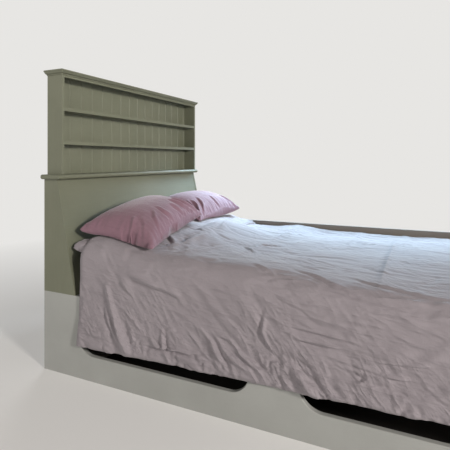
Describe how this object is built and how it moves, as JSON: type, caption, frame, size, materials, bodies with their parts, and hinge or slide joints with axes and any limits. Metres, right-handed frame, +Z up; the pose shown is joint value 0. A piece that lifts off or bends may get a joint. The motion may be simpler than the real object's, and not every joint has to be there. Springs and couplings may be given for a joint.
{
  "type": "fitted double bed with shelved headboard",
  "caption": "Built-in painted timber double bed with a leaning headboard box, a ledge and a shallow rack of shelves above, long storage slots in the base, and made-up bedding.",
  "frame": {"origin": "centre of the whole outline, at floor level", "axes": "+X from the head to the foot of the bed, +Y from the open front to the wall behind, +Z up"},
  "size_m": [2.2784, 1.44, 1.528],
  "materials": {
    "painted_joinery": "satin sage grey-green paint",
    "softwood": "planed bare softwood",
    "mattress_ticking": "plain woven ticking",
    "grey_linen": "washed grey linen, creased",
    "mauve_linen": "washed dusty mauve linen"
  },
  "bodies": {
    "root": {"base_front_panel": "painted_joinery", "base_back_panel": "painted_joinery", "base_head_panel": "painted_joinery", "base_head_divider": "painted_joinery", "base_centre_divider": "painted_joinery", "base_foot_panel": "painted_joinery", "slat_bearer_front_head": "softwood", "slat_bearer_back_head": "softwood", "slat_bearer_front_foot": "softwood", "slat_bearer_back_foot": "softwood", "bed_slats": "softwood", "wall_rail": "painted_joinery", "foot_rail": "painted_joinery", "headboard_end_near": "painted_joinery", "headboard_end_far": "painted_joinery", "headboard_front_panel": "painted_joinery", "headboard_rail_top": "softwood", "headboard_rail_bottom": "softwood", "headboard_ribs": "softwood", "ledge": "painted_joinery", "rack_end_near": "painted_joinery", "rack_end_far": "painted_joinery", "rack_back": "painted_joinery", "shelf_lower": "painted_joinery", "shelf_upper": "painted_joinery", "rack_frieze": "painted_joinery", "rack_top_board": "painted_joinery", "cornice": "painted_joinery", "mattress": "mattress_ticking", "duvet": "grey_linen", "pillow_lower_near": "grey_linen", "pillow_lower_far": "grey_linen", "pillow_top_near": "mauve_linen", "pillow_top_far": "mauve_linen"}
  },
  "joints": []
}
